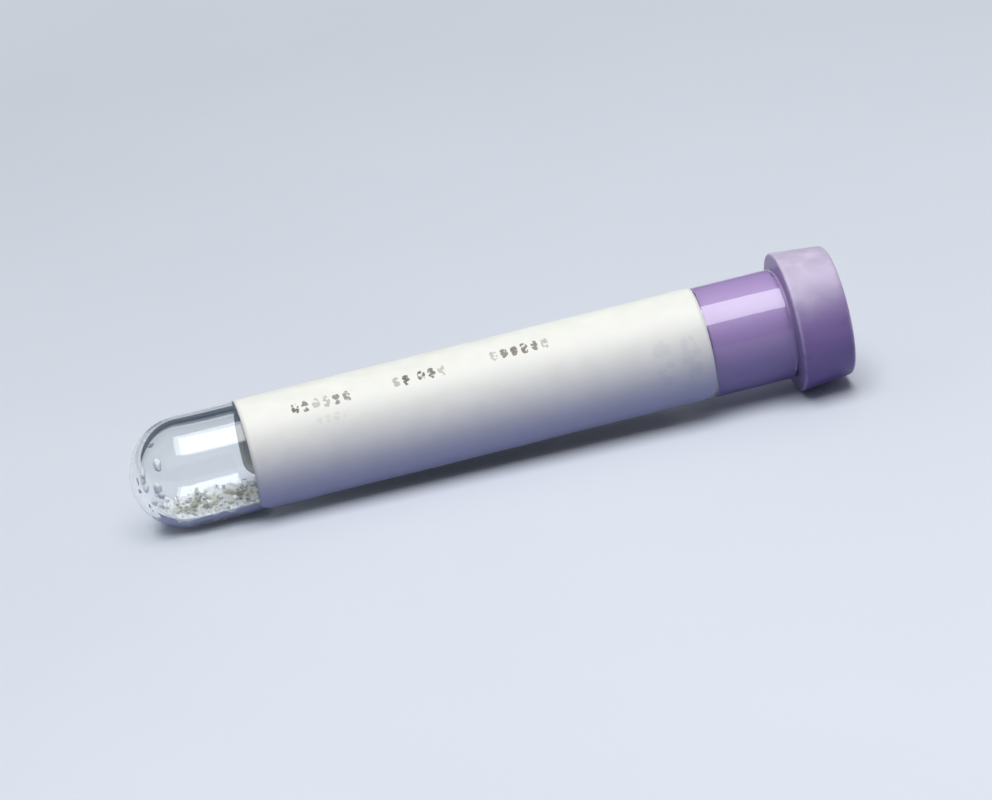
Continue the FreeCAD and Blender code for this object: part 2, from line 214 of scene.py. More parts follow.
def new_group(name, inputs, outputs):
    """An empty shader node group with named sockets."""
    group = bpy.data.node_groups.new(name, "ShaderNodeTree")
    for label, kind, value in inputs:
        socket = group.interface.new_socket(label, in_out="INPUT", socket_type=kind)
        if value is not None:
            socket.default_value = value
    for label in outputs:
        group.interface.new_socket(label, in_out="OUTPUT", socket_type="NodeSocketFloat")
    return group, group.nodes.new("NodeGroupInput"), group.nodes.new("NodeGroupOutput")

# %% [markdown]
# ## Arithmetic in a material
# Sums between nodes are nodes as well. With a name for each kind of sum, a mask or a mix of
# colours takes one short line.

# %% Sums, masks and mixes
COLOR_A, COLOR_B, COLOR_RESULT = 6, 7, 2    # the Mix node's colour sockets


def math_node(tree, operation, *numbers):
    """One step of arithmetic on values or sockets."""
    node = add_node(tree, "ShaderNodeMath", dict(enumerate(numbers)), operation=operation)
    return node.outputs[0]


def times(tree, first, *others):
    """The product of values or sockets."""
    for other in others:
        first = math_node(tree, "MULTIPLY", first, other)
    return first


def minus(tree, first, second):
    """The difference of two values or sockets."""
    return math_node(tree, "SUBTRACT", first, second)


def remap(tree, value, low, high, to=(0.0, 1.0)):
    """value between low and high, spread smoothly to the range in to."""
    values = {"Value": value, "From Min": low, "From Max": high, "To Min": to[0], "To Max": to[1]}
    node = add_node(tree, "ShaderNodeMapRange", values, interpolation_type="SMOOTHSTEP")
    return node.outputs[0]


def blend_colors(tree, share, first, second):
    """A mix of two colours by share."""
    node = add_node(tree, "ShaderNodeMix", data_type="RGBA")
    set_inputs(tree, node, {0: share, COLOR_A: first, COLOR_B: second})
    return node.outputs[COLOR_RESULT]


def object_place(tree):
    """The place on the object, in metres."""
    return add_node(tree, "ShaderNodeTexCoord").outputs["Object"]


def parts_of(tree, vector):
    """The X, Y and Z of a vector."""
    return add_node(tree, "ShaderNodeSeparateXYZ", {0: vector}).outputs


def is_ray(tree, rays, *kinds):
    """1 for rays of these kinds and 0 for all others, from a Light Path node's outputs."""
    share = rays[f"Is {kinds[0]} Ray"]
    for kind in kinds[1:]:
        share = math_node(tree, "MAXIMUM", share, rays[f"Is {kind} Ray"])
    return share

# %% [markdown]
# ## Fine grain
# Rubber, paper, salt, glass and the tabletop are all faintly uneven, each at its own scale. One
# group makes that unevenness: a fine layer for the surface's feel and a broad layer for its slow
# changes of tone. An image could hold the grain too, but it would need unwrapping, and it would
# blur from near by. Noise in the object's own space does neither. Each material sets both sizes.

# %% The grain group
def texture_scale(group, size):
    """The scale at which a texture's features are about that many mm."""
    return math_node(group, "DIVIDE", 1 / MM, size)


def make_grain_group():
    group, given, made = new_group(
        "Fine grain",
        [("Fine size", "NodeSocketFloat", 0.2), ("Broad size", "NodeSocketFloat", 4.0)],
        ["Height", "Tone"],
    )
    place = object_place(group)
    for size, detail, result in (("Fine size", 3.0, "Height"), ("Broad size", 4.0, "Tone")):
        scale = texture_scale(group, given.outputs[size])
        layer = add_node(group, "ShaderNodeTexNoise",
                         {"Vector": place, "Scale": scale, "Detail": detail, "Roughness": 0.6})
        group.links.new(layer.outputs["Fac"], made.inputs[result])
    return group


GRAIN = make_grain_group()
print("group", GRAIN.name, "has", len(GRAIN.nodes), "nodes")


def add_grain(tree, fine_size, broad_size):
    """The grain group in a material, with sizes in mm."""
    values = {"Fine size": fine_size, "Broad size": broad_size}
    return add_node(tree, "ShaderNodeGroup", values, node_tree=GRAIN).outputs


def add_bump(tree, height, depth):
    """A bump of that depth in mm at full height."""
    values = {"Height": height, "Distance": depth * MM}
    return add_node(tree, "ShaderNodeBump", values).outputs[0]

# %% [markdown]
# ## Dust, and painted top light
# Nothing that has lain on a bench is perfectly clean. Dust is a mask of sparse soft specks that
# lie on upward faces. A film adds an even pale coat there too, and that film is painted top light:
# the upper side made lighter where light falls. It is a group because glass, rubber and paper all
# carry the specks, some more than others, and only the rubber carries the film.

# %% The dust and painted top light group
HAZE_SCALE = 260.0    # slow drifts of dust, some 4 mm across


def make_dust_and_top_light_group():
    group, given, made = new_group(
        "Settled dust and painted top light",
        [("Specks", "NodeSocketFloat", 0.3), ("Speck size", "NodeSocketFloat", 0.5),
         ("Top light", "NodeSocketFloat", 0.0)],
        ["Mask"],
    )
    place = object_place(group)
    scale = texture_scale(group, given.outputs["Speck size"])
    specks = add_node(group, "ShaderNodeTexVoronoi", {"Vector": place, "Scale": scale})
    haze = add_node(group, "ShaderNodeTexNoise",
                    {"Vector": place, "Scale": HAZE_SCALE, "Detail": 5.0}).outputs["Fac"]
    facing = add_node(group, "ShaderNodeNewGeometry").outputs["Normal"]
    upper = remap(group, parts_of(group, facing)["Z"], 0.1, 0.9)
    dots = remap(group, specks.outputs["Distance"], 0.16, 0.02)
    patches = remap(group, haze, 0.45, 0.75)
    spread = math_node(group, "MULTIPLY_ADD", patches, 0.4, times(group, dots, patches))
    # This film is painted top light: an even pale coat on upward faces, lighter where light falls.
    top_light = times(group, remap(group, haze, 0.3, 0.7, to=(0.85, 1.15)), given.outputs["Top light"])
    specks_and_top_light = math_node(group, "MULTIPLY_ADD", spread, given.outputs["Specks"], top_light)
    group.links.new(times(group, specks_and_top_light, upper), made.inputs["Mask"])
    return group


DUST_AND_TOP_LIGHT = make_dust_and_top_light_group()
print("group", DUST_AND_TOP_LIGHT.name, "has", len(DUST_AND_TOP_LIGHT.nodes), "nodes")


def add_dust_and_top_light(tree, specks, speck_size, top_light=0.0):
    """The mask of dust specks and of the painted top light in a material. Speck size is in mm."""
    values = {"Specks": specks, "Speck size": speck_size, "Top light": top_light}
    return add_node(tree, "ShaderNodeGroup", values, node_tree=DUST_AND_TOP_LIGHT).outputs["Mask"]

# %% [markdown]
# ## The glass tube
# The tube is cut from drawn glass tubing: one end is melted shut into a bowl, and the cut end is
# fire-polished into a smooth round lip. The whole wall is one closed skin, outside and inside,
# because light bends at both: a single skin with a Solidify modifier would give the same wall
# everywhere, and this one is thicker in the bowl and round at the lip. The bowl of a melted end
# is never quite even, so its inner skin gets a slow wobble.

# %% Glass wall
GLASS_AROUND = 192
BOWL_STEPS, WALL_STEPS, LIP_STEPS = 40, 36, 20
BOWL_X = BOTTOM_WALL - WALL       # the centre of the bowl's inner skin
MID_WALL = (OUTSIDE + BORE) / 2   # between the inner and the outer skin
UNEVEN = 0.035                    # how far the inner skin wanders
UNEVEN_END, UNEVEN_FADE = 4.0, 5.0    # the x where it has faded out, and the length that it takes

glass_profile = [(-OUTSIDE, 0.0)]
glass_profile += bend(0, 0, OUTSIDE, 180, 90, BOWL_STEPS)[1:]
glass_profile += straight((0, OUTSIDE), (LIP_X, OUTSIDE), WALL_STEPS)
glass_profile += bend(LIP_X, OUTSIDE - WALL / 2, WALL / 2, 90, -90, LIP_STEPS)
glass_profile += straight((LIP_X, BORE), (BOWL_X, BORE), WALL_STEPS)
glass_profile += bend(BOWL_X, 0, BORE, 90, 180, BOWL_STEPS)[:-1]
glass_profile += [(BOWL_X - BORE, 0.0)]


def melted_bowl(x, turn, radius):
    """The slow unevenness of the melted end's inner skin, in mm."""
    outer_skin = radius > BORE + 0.01 or (x < 0 and x * x + radius * radius > MID_WALL ** 2)
    if outer_skin or x > UNEVEN_END:
        return 0.0
    fade = min(1.0, (UNEVEN_END - x) / UNEVEN_FADE)
    wave = math.sin(2 * turn + 0.8) + 0.6 * math.sin(3 * turn - x) + 0.5 * math.sin(1.7 * x)
    return UNEVEN * fade * wave * min(1.0, radius / 2)


points, faces = turned(glass_profile, GLASS_AROUND, melted_bowl)
glass = add_mesh("glass_tube_wall", points, faces, "tube", "glass_tube")
face_outwards(glass)

# %% [markdown]
# ## Clear glass
# Glass is a Principled BSDF at full transmission. Light that only has to reach what is inside
# passes through a plain clear shader instead, which keeps the inside bright and free of noise.
# That shader is darker at grazing angles, as a real wall is. Fine draw lines along the tube and
# a trace of dust keep the surface from looking ideal.

# %% Glass finish
GLASS_IOR = 1.5
DRAW_LINES = (12, 700, 700)    # slow along the tube and quick across it


def make_glass():
    material, tree, shader, output = new_material("soda_glass")
    clean, dusty = (0.975, 0.992, 0.988, 1), (0.85, 0.87, 0.86, 1)
    face_on, grazing = (0.97, 0.98, 0.98, 1), (0.78, 0.81, 0.82, 1)
    stretched = add_node(tree, "ShaderNodeMapping",
                         {"Vector": object_place(tree), "Scale": DRAW_LINES}).outputs[0]
    draw_lines = add_node(tree, "ShaderNodeTexNoise", {"Vector": stretched, "Scale": 1.0})
    grain = add_grain(tree, 1.5, 9.0)
    dust = add_dust_and_top_light(tree, 0.25, 0.7)
    smear = remap(tree, grain["Tone"], 0.5, 0.75, to=(0.0, 0.02))
    set_inputs(tree, shader, {
        "Base Color": blend_colors(tree, dust, clean, dusty),
        "Roughness": math_node(tree, "MULTIPLY_ADD", dust, 0.35, smear),
        "Normal": add_bump(tree, draw_lines.outputs["Fac"], 0.004),
        "Transmission Weight": 1.0,
        "IOR": GLASS_IOR,
    })
    rays = add_node(tree, "ShaderNodeLightPath").outputs
    edge = add_node(tree, "ShaderNodeLayerWeight", {"Blend": 0.35}).outputs["Facing"]
    shade = blend_colors(tree, edge, face_on, grazing)
    clear = add_node(tree, "ShaderNodeBsdfTransparent", {"Color": shade}).outputs[0]
    for_lamps = is_ray(tree, rays, "Shadow", "Diffuse")
    either = add_node(tree, "ShaderNodeMixShader", {0: for_lamps, 1: shader.outputs[0], 2: clear})
    tree.links.new(either.outputs[0], output.inputs[0])
    return material


give_finish(glass, make_glass())

# %% [markdown]
# ## The stopper
# One rubber moulding does everything. Its plug is squeezed into the glass and wets it like a
# suction cup, so no air shows between them. Its flange gives the fingers a grip, a well in the
# outer face guides the needle to the thin septum, and a hollow in the plug's end saves rubber.
# The plug is drawn a hair wider than the bore, because the squeezed rubber touches the glass, and
# it reaches the label's edge. Bevels could round the edges, but a rounded section gives each edge
# its own size.

# %% A rounded section
def rounded(section, steps=7):
    """A path through (x, radius, rounding) corners, each rounded to its size."""
    corners = [corner[:2] for corner in section]
    path = [corners[0]]
    for before, corner, after, (_, _, size) in zip(corners, corners[1:], corners[2:], section[1:]):
        here = Vector(corner)
        back, on = (Vector(before) - here).normalized(), (Vector(after) - here).normalized()
        half_turn = back.angle(on) / 2
        reach = size / math.tan(half_turn)
        centre = here + (back + on).normalized() * size / math.sin(half_turn)
        first, last = here + back * reach - centre, here + on * reach - centre
        for i in range(steps + 1):
            arm = first.slerp(last, i / steps)
            path.append(tuple(centre + arm.normalized() * size))
    return path + [corners[-1]]


def with_rings(path, longest):
    """The path with extra points wherever two neighbours are further apart than longest."""
    filled = [path[0]]
    for before, after in zip(path, path[1:]):
        steps = max(1, math.ceil(math.dist(before, after) / longest))
        filled += straight(before, after, steps) + [after]
    return filled

# %% [markdown]
# ## The moulding
# The section runs from the hollow's bottom out over the plug and the flange, and back into the
# needle well. Each point also stores how near it is to a rim, which is where fingers wear the
# rubber and where a highlight is painted on it. The Geometry node's Pointiness could find such
# edges by itself, but it merges points that are under half a millimetre apart, which is too coarse
# for so small a part.

# %% Stopper
SEAT_X = RIM_X + 0.02
FLANGE = OUTSIDE + 1.75
FLANGE_END = FLANGE - 0.65
FLANGE_END_X = SEAT_X + 6.2
PLUG_END_X = SEAT_X - 9.8
PLUG = BORE + 0.012
LOOSE_PLUG = BORE - 0.04
LEAD_IN, LIP_CLEARANCE = 0.35, 0.35
HOLLOW, HOLLOW_TAPER = 2.96, 0.35
HOLLOW_END_X = SEAT_X - 4.6
WELL = 2.8
WELL_FLOOR_X = FLANGE_END_X - 3.6
STOPPER_AROUND = 192
RING_GAP = 0.45
WEAR_AND_HIGHLIGHT_REACH = 0.6

stopper_section = [
    (HOLLOW_END_X, 0.0, 0.0), (HOLLOW_END_X, HOLLOW - HOLLOW_TAPER, 0.8), (PLUG_END_X, HOLLOW, 0.3),
    (PLUG_END_X, LOOSE_PLUG - 0.2, 0.12), (PLUG_END_X + LEAD_IN, PLUG, 0.25),
    (SEAT_X - 0.6, PLUG, 0.15), (SEAT_X - LIP_CLEARANCE, LOOSE_PLUG, 0.15),
    (SEAT_X, LOOSE_PLUG + 0.02, 0.005), (SEAT_X, FLANGE, 0.3), (FLANGE_END_X, FLANGE_END, 0.5),
    (FLANGE_END_X, WELL, 0.4), (WELL_FLOOR_X, WELL, 0.6), (WELL_FLOOR_X, 0.0, 0.0),
]
points, faces = turned(with_rings(rounded(stopper_section), RING_GAP), STOPPER_AROUND)
stopper = add_mesh("stopper_moulding", points, faces, "stopper", "stopper")
rims = [(SEAT_X, FLANGE), (FLANGE_END_X, FLANGE_END), (FLANGE_END_X, WELL)]
# How near each point is to a rim, where the rubber shows wear and where a highlight is painted.
rim_wear_and_highlight = stopper.data.attributes.new("edge_wear_and_highlight", "FLOAT", "POINT")
for index, (x, y, z) in enumerate(points):
    from_rim = min(math.dist((x, math.hypot(y, z)), rim) for rim in rims)
    rim_wear_and_highlight.data[index].value = max(0.0, 1 - from_rim / WEAR_AND_HIGHLIGHT_REACH)
face_outwards(stopper)

# %% [markdown]
# ## Moulded rubber
# The stopper is a soft lavender rubber with a satin skin. Its upper side carries dust specks and a
# pale film, and the film is painted top light. The rims are lighter, partly from handling wear and
# partly as a painted highlight, and the skin has the fine orange-peel of the mould. Inside the glass
# there are no specks and no film, and the plug's colour is painted lighter there, as painted light
# on the plug seen through the glass. A faint sheen at grazing angles stands for the bloom of such
# rubber. Plug and flange could be two materials, but they are one moulding, so one material blends
# between them at the seat.

# %% Rubber finish
def make_rubber():
    material, tree, shader, _ = new_material("lavender_rubber")
    flange_dark, flange_light = (0.235, 0.15, 0.37, 1), (0.28, 0.185, 0.42, 1)
    # Of the next three colours, the last is the pale film of painted top light, with the dust specks.
    plug_painted_lighter, worn_and_lit_rim, dust_and_top_light_color = (0.42, 0.29, 0.57, 1), (0.66, 0.58, 0.78, 1), (0.78, 0.72, 0.84, 1)
    grain = add_grain(tree, 0.16, 3.2)
    along = parts_of(tree, object_place(tree))["X"]
    seat = (LAID_DOWN @ Vector((SEAT_X, 0, 0))).x
    outside = remap(tree, along, seat - 0.3 * MM, seat)
    bloom = remap(tree, grain["Tone"], 0.35, 0.7)
    flange = blend_colors(tree, bloom, flange_dark, flange_light)
    # Inside the glass the plug gets a lighter colour than the flange: painted light for the plug seen through the
    # glass.
    color = blend_colors(tree, outside, plug_painted_lighter, flange)
    # Near the rims the colour is painted lighter: partly handling wear, partly a painted highlight.
    rim = add_node(tree, "ShaderNodeAttribute", attribute_name="edge_wear_and_highlight").outputs["Fac"]
    uneven = remap(tree, grain["Tone"], 0.3, 0.6, to=(0.7, 1.1))
    wear_and_rim_highlight = remap(tree, times(tree, rim, uneven), 0.25, 0.85, to=(0.0, 0.5))
    color = blend_colors(tree, wear_and_rim_highlight, color, worn_and_lit_rim)
    # Dust specks and a pale film of painted top light, both left out inside the glass.
    dust_and_top_light_share = times(tree, add_dust_and_top_light(tree, 0.45, 0.45, top_light=0.58), outside)
    set_inputs(tree, shader, {
        "Base Color": blend_colors(tree, dust_and_top_light_share, color, dust_and_top_light_color),
        "Roughness": remap(tree, grain["Tone"], 0.3, 0.75, to=(0.36, 0.46)),
        "Normal": add_bump(tree, grain["Height"], 0.012),
        "Coat Weight": times(tree, outside, 0.3),
        "Coat Roughness": 0.36,
        "Specular IOR Level": 0.45,
        "Sheen Weight": 0.12,
        "Sheen Roughness": 0.4,
    })
    return material


give_finish(stopper, make_rubber())

# %% [markdown]
# ## Sheets with two sides
# The label and the dried additive are both thin sheets on the tube's wall. Each is a grid of
# points in rows along the tube, made twice: first the side that shows, then the side on the
# glass. A Solidify modifier could add the second side, but then it couldn't follow the glass.

# %% Faces of a sheet
def sheet_faces(along_steps, across_steps, wanted=None):
    """Quads of a sheet's two sides. wanted says which cells of the grid get one."""
    row = along_steps + 1
    faces = []
    for start in (0, row * (across_steps + 1)):
        for j in range(across_steps):
            for i in range(along_steps):
                if wanted and not wanted(i, j):
                    continue
                a = start + j * row + i
                faces.append((a, a + 1, a + 1 + row, a + row) if start else
                             (a, a + row, a + 1 + row, a + 1))
    return faces

# %% [markdown]
# ## The paper label
# A rectangle of coated paper with rounded corners is wrapped round the glass. It leaves a gap
# that serves as a window. A flat sheet could be bent by a modifier, but placing each point by
# angle keeps the glue line exact. The long edges have sprung a few hundredths of a millimetre
# clear, as paper does on a tight curve.

# %% Label measures
LABEL_START, LABEL_END = 13.2 - OUTSIDE, RIM_X - 9.75
LABEL_LENGTH = LABEL_END - LABEL_START
LABEL_HALF_WRAP = math.radians(140)
LABEL_MIDDLE = math.radians(5)  # from straight up, positive towards the front
LABEL_CORNER = 2.0
PAPER, GLUE = 0.1, 0.02
SOAKED = 0.004                  # the glue meets the glass, so no air shows between them
SPRUNG, SPRING_REACH = 0.035, 0.8
RIPPLE = 0.006
ACROSS_STEPS, ALONG_STEPS = 176, 110
EDGE_CROWDING = 0.35            # how far the rows crowd towards the long edges
HALF_SPAN = LABEL_HALF_WRAP * (OUTSIDE + GLUE)
print("label", round(LABEL_LENGTH, 2), "by", round(2 * HALF_SPAN, 2), "mm")

# %% [markdown]
# ## The sheet's points
# Each row of points runs along the tube and has its own angle round it. The rows crowd towards
# the long edges, where the paper springs up, and each row is shorter near a rounded corner. The
# same points are kept in millimetres on the flat paper, which the print needs later.

# %% Label sheet
def label_points():
    """Points of the sheet, printed side first, and where each is on the flat paper in mm."""
    shape, flat = [], []
    for side in (1, 0):
        for j in range(ACROSS_STEPS + 1):
            crowded, even = -math.cos(math.pi * j / ACROSS_STEPS), 2 * j / ACROSS_STEPS - 1
            span = HALF_SPAN * (EDGE_CROWDING * crowded + (1 - EDGE_CROWDING) * even)
            to_edge = HALF_SPAN - abs(span)
            cut = max(0.0, LABEL_CORNER - to_edge)
            inset = LABEL_CORNER - math.sqrt(max(0.0, LABEL_CORNER ** 2 - cut ** 2))
            turn = LABEL_MIDDLE + span / (OUTSIDE + GLUE)
            for i in range(ALONG_STEPS + 1):
                x = LABEL_START + inset + (LABEL_LENGTH - 2 * inset) * i / ALONG_STEPS
                ripple = noise.noise(Vector((x * 0.16, span * 0.3, 0.0)))
                lift = SPRUNG * math.exp(-to_edge / SPRING_REACH) * (1 + ripple)
                radius = OUTSIDE - SOAKED + lift + (PAPER + GLUE + RIPPLE * ripple) * side
                shape.append((x, -radius * math.sin(turn), radius * math.cos(turn)))
                flat.append((x - LABEL_START, span))
    return shape, flat


def label_edge():
    """Faces that close the sheet's cut edge, all the way round."""
    row, side_count = ALONG_STEPS + 1, (ALONG_STEPS + 1) * (ACROSS_STEPS + 1)
    rim = list(range(row))
    rim += [j * row + ALONG_STEPS for j in range(1, ACROSS_STEPS + 1)]
    rim += [ACROSS_STEPS * row + i for i in range(ALONG_STEPS - 1, -1, -1)]
    rim += [j * row for j in range(ACROSS_STEPS - 1, 0, -1)]
    return [(a, b, b + side_count, a + side_count) for a, b in zip(rim, rim[1:] + rim[:1])]


points, paper_mm = label_points()
faces = sheet_faces(ALONG_STEPS, ACROSS_STEPS) + label_edge()
label = add_mesh("label_sheet", points, faces, "tube", "paper_label")
face_outwards(label)
label_map = label.data.uv_layers.new(name="paper_mm")
for loop in label.data.loops:
    label_map.data[loop.index].uv = paper_mm[loop.vertex_index]
printed_faces = ALONG_STEPS * ACROSS_STEPS
for face in label.data.polygons:
    face.material_index = 0 if face.index < printed_faces else 1

# %% [markdown]
# ## Printed marks
# The print is only generic marks: short rows of smudged blots near the top, a fainter row
# beneath, and some pale blots by the right-hand end. Text objects would lie on the paper as
# separate shapes, and they would say something, which these marks must not. Thin ink on a coated
# label smears, so each blot is a small round patch of thresholded noise. These first helpers give
# the two shapes that cut the noise: the row's box and the blot's rounding.

# %% Parts of a mark
SOFT_SIDE = (-0.08, 0.12)    # how a row of marks fades out at its sides, in mm


def row_mask(group, place, start, end):
    """1 between the corners start and end, and 0 around them."""
    mask = 1.0
    for name in ("X", "Y"):
        after = remap(group, minus(group, place[name], start[name]), *SOFT_SIDE)
        before = remap(group, minus(group, end[name], place[name]), *SOFT_SIDE)
        mask = times(group, mask, times(group, after, before))
    return mask


def corner_loss(group, *shares):
    """How much less ink a blot has away from its middle. shares are places along its sides."""
    from_middle = []
    for share in shares:
        offset = math_node(group, "MULTIPLY_ADD", share, 2.0, -1.0)
        from_middle.append(times(group, offset, offset))
    return remap(group, math_node(group, "ADD", *from_middle), 0.45, 1.5, to=(0.0, 0.3))

# %% [markdown]
# ## A row of marks
# A group of nodes draws one row of blots, with a gap after each, and chance makes some darker.
# The label's own millimetre coordinates place each row, so the marks bend with the paper.

# %% The marks group
def make_marks_group():
    vector, number = "NodeSocketVector", "NodeSocketFloat"
    group, given, made = new_group(
        "Smudged marks",
        [("Place", vector, None), ("Start", vector, None), ("End", vector, None),
         ("Blot pitch", number, 1.18), ("Blot share", number, 0.78),
         ("Smudge size", number, 0.5), ("Ink", number, 0.42)],
        ["Mask"],
    )
    given = given.outputs
    place, start, end = (parts_of(group, given[name]) for name in ("Place", "Start", "End"))
    pitches = math_node(group, "DIVIDE", minus(group, place["X"], start["X"]), given["Blot pitch"])
    blot_number = math_node(group, "ADD", math_node(group, "FLOOR", pitches), start["X"])
    chance = add_node(group, "ShaderNodeTexWhiteNoise", {"W": blot_number}, noise_dimensions="1D")
    darkness = remap(group, chance.outputs["Value"], 0.0, 1.0, to=(0.45, 1.0))
    width = math_node(group, "DIVIDE", math_node(group, "FRACT", pitches), given["Blot share"])
    height = math_node(group, "DIVIDE", minus(group, place["Y"], start["Y"]),
                       minus(group, end["Y"], start["Y"]))
    scale = math_node(group, "DIVIDE", 1.0, given["Smudge size"])
    smudge = add_node(group, "ShaderNodeTexNoise",
                      {"Vector": given["Place"], "Scale": scale, "Detail": 2.0})
    over = minus(group, smudge.outputs["Fac"], given["Ink"])
    inked = remap(group, minus(group, over, corner_loss(group, width, height)), -0.03, 0.06)
    shown = times(group, inked, remap(group, width, 1.05, 0.95), row_mask(group, place, start, end))
    group.links.new(times(group, shown, darkness), made.inputs["Mask"])
    return group


MARKS = make_marks_group()
print("group", MARKS.name, "has", len(MARKS.nodes), "nodes")


def add_marks(tree, place, start, end, pitch=1.18, share=0.78, smudge=0.5, ink=0.42):
    """One row of marks between two corners in mm on the label."""
    values = {"Place": place, "Start": (*start, 0), "End": (*end, 0), "Blot pitch": pitch,
              "Blot share": share, "Smudge size": smudge, "Ink": ink}
    return add_node(tree, "ShaderNodeGroup", values, node_tree=MARKS).outputs["Mask"]

# %% [markdown]
# ## Coated paper
# Label paper is off-white with a thin coating, so it is smoother than writing paper but never
# shiny. Fibres show as the faintest mottling. The back is the same paper, seen through the
# glass with its glue on it, so one function makes both, and the printed side only adds to it.

# %% Paper finish
# Rows of marks: from and to along the label, and how far to the front of its middle, in mm.
MARK_ROWS = [(5.7, 12.45, 2.3), (17.3, 19.4, 2.05), (20.2, 23.4, 2.0), (28.6, 35.35, 1.75)]
ROW_HEIGHT = 1.6
DARK_INK, BROWN_INK, GREY_INK = (0.115, 0.09, 0.06, 1), (0.35, 0.3, 0.25, 1), (0.42, 0.40, 0.50, 1)
PAPER_DUST = (0.68, 0.67, 0.64, 1)


def add_print(tree, color, grain):
    """The paper's colour with the marks printed on it."""
    place = add_node(tree, "ShaderNodeUVMap", uv_map="paper_mm").outputs[0]
    ink = 0.0
    for start, end, low in MARK_ROWS:
        row = add_marks(tree, place, (start, low), (end, low + ROW_HEIGHT))
        ink = math_node(tree, "MAXIMUM", ink, row)
    faint = add_marks(tree, place, (8.0, 4.7), (11.5, 5.7), pitch=1.0)
    blocks = add_marks(tree, place, (46.0, 5.2), (52.0, 11.6), 3.1, 0.85, 1.5, 0.49)
    patchy = remap(tree, grain["Height"], 0.3, 0.6, to=(0.75, 1.0))
    color = blend_colors(tree, times(tree, blocks, 0.22), color, GREY_INK)
    color = blend_colors(tree, times(tree, faint, 0.2), color, BROWN_INK)
    return blend_colors(tree, times(tree, ink, patchy), color, DARK_INK)


def make_paper(printed):
    material, tree, shader, _ = new_material("label_face" if printed else "label_back")
    darker, lighter = (0.83, 0.835, 0.775, 1), (0.87, 0.875, 0.815, 1)
    grain = add_grain(tree, 0.12, 2.6)
    color = blend_colors(tree, remap(tree, grain["Tone"], 0.3, 0.75), darker, lighter)
    if printed:
        color = add_print(tree, color, grain)
        color = blend_colors(tree, add_dust_and_top_light(tree, 0.2, 0.6), color, PAPER_DUST)
    set_inputs(tree, shader, {
        "Base Color": color,
        "Roughness": remap(tree, grain["Tone"], 0.3, 0.7, to=(0.42, 0.55)),
        "Normal": add_bump(tree, grain["Height"], 0.008),
        "Specular IOR Level": 0.4,
    })
    return material


give_finish(label, make_paper(True), make_paper(False))

# %% [markdown]
# ## The dried additive
# Collection tubes hold a little anticoagulant, sprayed in and dried. It lies along the lower
# wall as a thin pale crust with crystals standing out of it, and a few beads cling to the bowl.
# The crust is a sheet whose thickness comes from noise, so that its edge is ragged and its top
# is lumpy. A Displace modifier could lift the lumps, but the crystals have to stand on them, so
# the height is a function that both can ask.

# %% Crust measures
CRUST_START, CRUST_END = -4.2, 8.3
CRUST_HALF = math.radians(44)
CRUST_MIDDLE = math.radians(178)   # from straight up, positive towards the front
CRUST_THICK = 0.5
CRUST_ALONG_STEPS, CRUST_ACROSS_STEPS = 160, 120
RAGGED_EDGE, EDGE_RISE = 0.02, 0.07     # shares of the crust's extent
LUMP_FIELD = (12.5, 8.7, 1.7)      # the block of noise that its lumps are read from
WETTED = 0.02      # the salt dried onto the glass, so no air shows between them
THIN_SKIN = 0.004  # how far apart the two sides are where there is no salt
MERGED = 0.006     # points this near to each other become one, which closes the edge


def crust_place(along, sideways):
    """X and the angle from straight up, at two shares from 0 to 1 of the crust's extent."""
    x = CRUST_START + (CRUST_END - CRUST_START) * along
    return x, CRUST_MIDDLE + CRUST_HALF * (2 * sideways - 1)


def on_bore(x, turn, inwards):
    """A point that far in from the bore's wall, in the straight part or in the bowl."""
    radius = BORE - inwards
    if x < BOWL_X:
        slope = min(0.98, (BOWL_X - x) / BORE)
        x = BOWL_X - radius * slope
        radius *= math.sqrt(1 - slope * slope)
    radius += melted_bowl(x, -turn, radius)
    return (x, -radius * math.sin(turn), radius * math.cos(turn))


def crust_height(along, sideways):
    """Thickness in mm at a place given by two shares of the crust's extent."""
    spot = Vector((along * LUMP_FIELD[0], sideways * LUMP_FIELD[1], LUMP_FIELD[2]))
    ragged = 0.2 * noise.fractal(spot * 0.8, 1.0, 2.0, 3)
    from_edge = min(along, 1 - along, sideways * 0.7, (1 - sideways) * 0.7) + ragged * 0.5
    if from_edge <= RAGGED_EDGE:
        return 0.0
    rise = min(1.0, (from_edge - RAGGED_EDGE) / EDGE_RISE)
    lumps = abs(noise.noise(spot * 0.7)) + 0.5 * abs(noise.noise(spot * 2.0))
    return CRUST_THICK * rise * min(1.0, 0.12 + 1.3 * lumps)

# %% [markdown]
# ## The crust's mesh
# The two sides exist only where there is salt: cells with no height get no faces, and the loose
# points go. At the ragged edge the sides nearly touch, and there their points become one. A
# Solidify modifier would wall the edge off upright, which dried salt never is.

# %% Crust
def crust_shape():
    """Points and faces of the crust: a lumpy top, and a base that follows the wall."""
    along_shares = [i / CRUST_ALONG_STEPS for i in range(CRUST_ALONG_STEPS + 1)]
    across_shares = [j / CRUST_ACROSS_STEPS for j in range(CRUST_ACROSS_STEPS + 1)]
    heights = [[crust_height(i, j) for i in along_shares] for j in across_shares]
    points = []
    for top in (1, 0):
        for sideways, row in zip(across_shares, heights):
            for along, height in zip(along_shares, row):
                at_rim = along in (0, 1) or sideways in (0, 1)
                depth = 0.0 if at_rim else height * top
                points.append(on_bore(*crust_place(along, sideways),
                                      depth + THIN_SKIN * top - WETTED))

    def has_salt(i, j):
        return any(heights[j + b][i + a] for a in (0, 1) for b in (0, 1))

    return points, sheet_faces(CRUST_ALONG_STEPS, CRUST_ACROSS_STEPS, has_salt)


